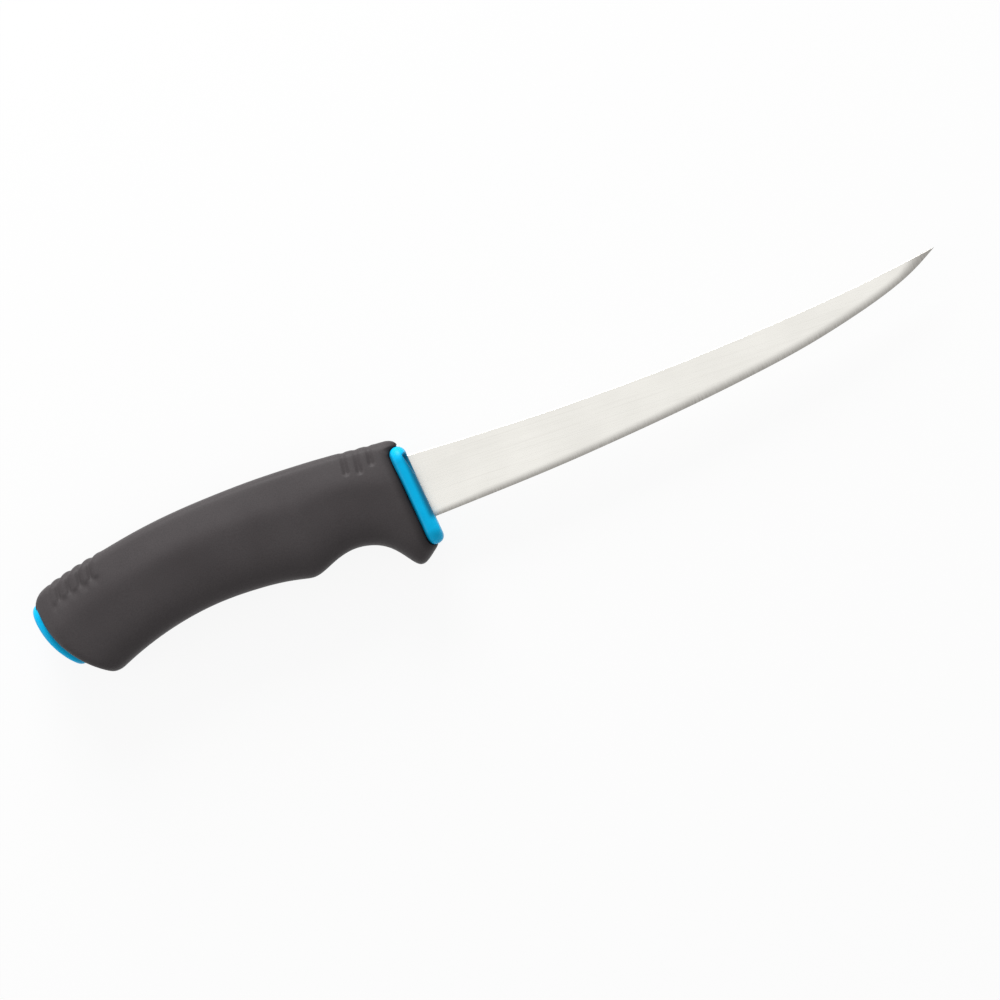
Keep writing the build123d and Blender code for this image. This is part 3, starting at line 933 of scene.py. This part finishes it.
def groove_sink(along, drop, depth):
    """Depth of the front grooves in mm: soft hollows that get deeper from the spine to their round end."""
    sink = np.zeros_like(along)
    for step, end in enumerate(GROOVE_ENDS):
        offset = along - GROOVE_LEAN * drop - (GROOVE_START + step * GROOVE_PITCH)
        away = np.hypot(offset, np.maximum(drop - end, 0)) / GROOVE_HALF
        sink += depth * (1 + GROOVE_GROWTH * ease(drop, 0, end)) * (1 - ease(away, 0, 1))
    return sink


def grip_points(sizes, columns=GRIP_COLUMNS):
    """Grip: rings over the skin from the front rim to the butt's, each rim rounded and each end closed. With
    them comes how near each point is to the seam with the collar, from 0 to 1, for the painted shade there."""
    thickness = sizes.grip_thickness / MM
    turn = (np.arange(columns) + 0.5) / columns * 2 * np.pi
    rim = sizes.rim_radius / MM * (1 - RIM_THINNING * np.abs(np.cos(turn)))
    butt = sizes.butt_edge / MM
    butt = butt + (sizes.butt_top_edge / MM - butt) * np.maximum(np.cos(turn), 0)
    ahead = np.linspace(*FRONT_SEARCH)
    behind = np.linspace(*BUTT_SEARCH)

    def front(x, y):
        """The front's cut for this collar."""
        return front_cut(x, y, sizes.collar_height / MM)

    front_end = first_crossing(turn, thickness, ahead, front, 0)
    front_start = first_crossing(turn, thickness, ahead, front, -rim)
    rear_end = first_crossing(turn, thickness, behind, butt_cut, 0)
    rear_start = first_crossing(turn, thickness, behind, butt_cut, -butt)

    # Rows between the two ends, close together where the grooves and ribs are
    inner = np.concatenate([np.linspace(*GROOVE_ROWS), np.arange(*PLAIN_ROWS)])
    part = np.linspace(0, 1, FRONT_COUNT)[:-1, None]
    front_rows = front_start + (inner[0] - front_start) * part
    part = np.linspace(0, 1, REAR_COUNT)[1:, None]
    rear_rows = inner[-1] + (rear_start - inner[-1]) * part
    shared_rows = np.broadcast_to(inner[:, None], (len(inner), columns))
    along = np.concatenate([front_rows, shared_rows, rear_rows])
    skin = grip_skin(along, turn[None, :], thickness)
    normal = skin_normals(skin)

    # Ribs and grooves stand on the skin, measured down from the spine, and fade out before the butt's edge
    drop = grip_columns(along)[0] - skin[..., 1]
    lift = rib_lift(along, drop, sizes.rib_height / MM) * ease(rear_start - along, 0, RIB_RADIUS)
    lift -= groove_sink(along, drop, sizes.groove_depth / MM)
    skin = skin + normal * lift[..., None]

    def end_rings(rows, ring, cut, radius, steps):
        """Rim and wall rings of one end, from the skin's last ring outwards."""
        corner = grip_skin(rows, turn, thickness)
        facing = cut_normal(cut, corner[:, 0], corner[:, 1])
        return rim_rings(corner, skin[ring], normal[ring], facing, radius, steps, WALL_COUNT)

    front_rings = end_rings(front_end, 0, front, rim, FRONT_RIM_COUNT)
    rear_rings = end_rings(rear_end, -1, butt_cut, butt, BUTT_RIM_COUNT)
    rings = np.concatenate([front_rings[::-1], skin, rear_rings])
    out, up = knife_to_collar(rings[..., 0], rings[..., 1])
    return rings, ease(slot_cut(out, up, sizes.collar_height / MM), -SEAM_SHADE_REACH, 0)


def rubber_finish(colours):
    """Thermoplastic elastomer, moulded in a spark-eroded tool: matt warm dark grey with a fine grain."""
    made, tree, shader, place_in = material("matt moulded elastomer")

    # Slow patches about 17 mm wide, as handled rubber has
    patches = node(
        tree, "ShaderNodeTexNoise", links=[(place_in, "Vector")],
        Scale=cells(PATCH_WIDTH), Detail=3.0, Roughness=0.5,
    ).outputs["Fac"]
    patch = node(
        tree, "ShaderNodeMapRange", links=[(patches, "Value")], From_Min=0.3, From_Max=0.7
    ).outputs["Result"]

    # Grain of the tool, 0.36 mm across: the real grain is nearer 0.1 mm, too fine for the render to show
    grain = node(
        tree, "ShaderNodeTexNoise", links=[(place_in, "Vector")],
        Scale=cells(GRAIN_WIDTH), Detail=2.0, Roughness=0.6,
    ).outputs["Fac"]
    pit = node(
        tree, "ShaderNodeMapRange", links=[(grain, "Value")],
        From_Min=0.35, From_Max=0.6, To_Min=0.22, To_Max=0.0,
    ).outputs["Result"]
    colour = node(
        tree, "ShaderNodeMix", {"data_type": "RGBA"}, [(patch, "Factor")],
        A=linear("#413D3E"), B=colours.rubber,
    )
    pitted = node(
        tree, "ShaderNodeMix", {"data_type": "RGBA", "blend_type": "MULTIPLY"},
        [(colour.outputs["Result"], "A"), (pit, "Factor")], B=linear("#8A8788"),
    )

    # Painted shade: the rubber is darkened beside the collar, where the seam lies in shade
    seam_shade = node(tree, "ShaderNodeAttribute", {"attribute_name": "seam_shade"}).outputs["Fac"]
    whole = node(
        tree, "ShaderNodeMix", {"data_type": "RGBA"},
        [(seam_shade, "Factor"), (pitted.outputs["Result"], "A")], B=linear("#252223"),
    )
    tree.links.new(whole.outputs["Result"], shader.inputs["Base Color"])
    rough = node(
        tree, "ShaderNodeMapRange", links=[(patches, "Value")],
        From_Min=0.3, From_Max=0.7, To_Min=0.5, To_Max=0.58,
    )
    tree.links.new(rough.outputs["Result"], shader.inputs["Roughness"])
    shader.inputs["IOR"].default_value = 1.5
    shader.inputs["Specular IOR Level"].default_value = 0.15
    bump = node(tree, "ShaderNodeBump", links=[(grain, "Height")], Strength=0.35, Distance=0.05 * MM)
    tree.links.new(bump.outputs["Normal"], shader.inputs["Normal"])
    return made


# Stage

def seen_directly(tree):
    """1 for the rays of the camera, of gloss and through glass, and 0 for those that light the knife."""
    path = node(tree, "ShaderNodeLightPath")
    seen = node(
        tree, "ShaderNodeMath", {"operation": "MAXIMUM"},
        [(path.outputs["Is Camera Ray"], 0), (path.outputs["Is Glossy Ray"], 1)],
    )
    return node(
        tree, "ShaderNodeMath", {"operation": "MAXIMUM"},
        [(seen.outputs["Value"], 0), (path.outputs["Is Transmission Ray"], 1)],
    ).outputs["Value"]


def paper_finish(colours):
    """White background paper, uncoated and matt. It looks plain white, over a faint shadow."""
    made, tree, shader, _ = material("matt white paper")
    shader.inputs["Base Color"].default_value = colours.floor
    shader.inputs["Roughness"].default_value = 0.9
    shader.inputs["Specular IOR Level"].default_value = 0.1
    glow = node(tree, "ShaderNodeEmission", Color=(1, 1, 1, 1), Strength=1.0)
    share = node(tree, "ShaderNodeMath", {"operation": "MULTIPLY"}, [(seen_directly(tree), 0)])
    share.inputs[1].default_value = FLOOR_GLOW
    mix = node(
        tree, "ShaderNodeMixShader",
        links=[(share.outputs["Value"], "Fac"), (shader.outputs["BSDF"], 1), (glow.outputs["Emission"], 2)],
    )
    tree.links.new(mix.outputs["Shader"], tree.nodes["Material Output"].inputs["Surface"])
    return made


def studio_world():
    """A white room: soft and plain as light, and pure white where it is seen."""
    world = bpy.data.worlds.new("white studio")
    world.use_nodes = True
    tree = world.node_tree
    tree.nodes.clear()
    light = node(tree, "ShaderNodeBackground", Color=(1, 1, 1, 1), Strength=SKY_LIGHT).outputs["Background"]
    white = node(tree, "ShaderNodeBackground", Color=(1, 1, 1, 1), Strength=1.0).outputs["Background"]
    mix = node(tree, "ShaderNodeMixShader", links=[(seen_directly(tree), "Fac"), (light, 1), (white, 2)])
    node(tree, "ShaderNodeOutputWorld", links=[(mix.outputs["Shader"], "Surface")])
    return world


# Operators

class KNIFE_OT_blade(bpy.types.Operator):
    """Builds the blade."""

    bl_idname = "knife.blade"
    bl_label = "Blade"

    def execute(self, context):
        """Makes the steel surface and marks how strongly each point of it is honed and darkened by painted
        reflection.
        """
        points, height = blade_points(context.scene.knife_sizes)
        # Painted reflection: the darkening fades from the edge up to the given heights, highest at the tip
        faded = np.interp(points[..., 0], HONED_AND_REFLECTION_HEIGHTS[:, 0], HONED_AND_REFLECTION_HEIGHTS[:, 1])
        honed_and_painted_reflection = 1 - ease(height, 0, faded)
        honed_and_painted_reflection = np.concatenate([honed_and_painted_reflection[:1], honed_and_painted_reflection, honed_and_painted_reflection[-1:]])
        mesh = closed_mesh("blade_surface", [close_ends(points)], "honed_and_painted_reflection", [honed_and_painted_reflection])
        finish = steel_finish(context.scene.knife_colours)
        place("blade_steel_surface", mesh, finish, "blade_steel", "blade")
        return {"FINISHED"}


class KNIFE_OT_core(bpy.types.Operator):
    """Builds what shows of the hard handle core: the collar and the butt pad."""

    bl_idname = "knife.core"
    bl_label = "Handle core"

    def execute(self, context):
        """Makes the collar and the pad as one piece, since one moulding makes both."""
        collar, painted_shade = collar_points(context.scene.knife_sizes)
        pad = pad_points()
        marks = [painted_shade, np.zeros(pad.shape[:2])]
        mesh = closed_mesh("core_surface", [collar, pad], "painted_shade", marks)
        finish = plastic_finish(context.scene.knife_colours)
        place("handle_core_surface", mesh, finish, "core_plastic", "handle_core")
        return {"FINISHED"}


class KNIFE_OT_grip(bpy.types.Operator):
    """Builds the rubber grip with its ribs and grooves."""

    bl_idname = "knife.grip"
    bl_label = "Grip"

    def execute(self, context):
        """Makes the grip's surface, and marks the painted shade where it meets the collar."""
        points, seam_shade = grip_points(context.scene.knife_sizes)
        mesh = closed_mesh("grip_surface", [points], "seam_shade", [seam_shade])
        place("grip_surface", mesh, rubber_finish(context.scene.knife_colours), "grip_rubber", "grip")
        return {"FINISHED"}


class KNIFE_OT_stage(bpy.types.Operator):
    """Sets the floor, the light and the camera."""

    bl_idname = "knife.stage"
    bl_label = "Stage"

    def execute(self, context):
        """Lays white paper under the knife, lights it softly and looks straight down on it."""
        scene = context.scene
        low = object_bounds()[0].z
        mesh = bpy.data.meshes.new("floor")
        corners = [(x * FLOOR_HALF, y * FLOOR_HALF, low) for x, y in ((-1, -1), (1, -1), (1, 1), (-1, 1))]
        mesh.from_pydata(corners, [], [(0, 1, 2, 3)])
        mesh.materials.append(paper_finish(scene.knife_colours))
        floor = bpy.data.objects.new("floor", mesh)
        scene.collection.objects.link(floor)
        floor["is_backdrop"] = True

        for name, (spot, side, power) in SOFT_BOXES.items():
            lamp = bpy.data.lights.new(name, "AREA")
            lamp.size = side
            lamp.energy = power
            light = bpy.data.objects.new(name, lamp)
            light.location = spot
            light.rotation_euler = (-Vector(spot)).to_track_quat("-Z", "Y").to_euler()
            scene.collection.objects.link(light)
        scene.world = studio_world()

        lens = bpy.data.cameras.new("camera")
        lens.sensor_width = SENSOR_WIDTH
        lens.lens = SENSOR_WIDTH * CAMERA_HEIGHT / (VIEW_WIDTH * MM)
        lens.clip_start, lens.clip_end = CLIP_RANGE
        camera = bpy.data.objects.new("camera", lens)
        spot = Vector((*VIEW_MIDDLE, 0)) * MM + Vector((0, 0, CAMERA_HEIGHT))
        camera.matrix_world = Matrix.Translation(spot) @ Matrix.Rotation(-VIEW_TURN, 4, "Z")
        scene.collection.objects.link(camera)
        scene.camera = camera
        scene.view_settings.view_transform = "Standard"
        return {"FINISHED"}


class KNIFE_PT_panel(bpy.types.Panel):
    """Lists the knife's operators, sizes and colours."""

    bl_idname = "KNIFE_PT_panel"
    bl_label = "Fillet knife"
    bl_space_type = "VIEW_3D"
    bl_region_type = "UI"
    bl_category = "Knife"

    def draw(self, context):
        """Draws a button for each piece, then the sizes and colours."""
        for operator in OPERATORS:
            self.layout.operator(operator.bl_idname)
        for group in (context.scene.knife_sizes, context.scene.knife_colours):
            for key in group.__annotations__:
                self.layout.prop(group, key)


OPERATORS = (KNIFE_OT_blade, KNIFE_OT_core, KNIFE_OT_grip, KNIFE_OT_stage)
CLASSES = (KnifeSizes, KnifeColours, *OPERATORS, KNIFE_PT_panel)


def register():
    """Registers the classes and the scene's two groups."""
    for made in CLASSES:
        bpy.utils.register_class(made)
    bpy.types.Scene.knife_sizes = bpy.props.PointerProperty(type=KnifeSizes)
    bpy.types.Scene.knife_colours = bpy.props.PointerProperty(type=KnifeColours)


def unregister():
    """Takes the groups and the classes away again."""
    del bpy.types.Scene.knife_colours
    del bpy.types.Scene.knife_sizes
    for made in reversed(CLASSES):
        bpy.utils.unregister_class(made)


def main():
    """Builds the knife and its stage."""
    register()
    bpy.ops.knife.blade()
    bpy.ops.knife.core()
    bpy.ops.knife.grip()
    bpy.ops.knife.stage()


if __name__ == "__main__":
    main()
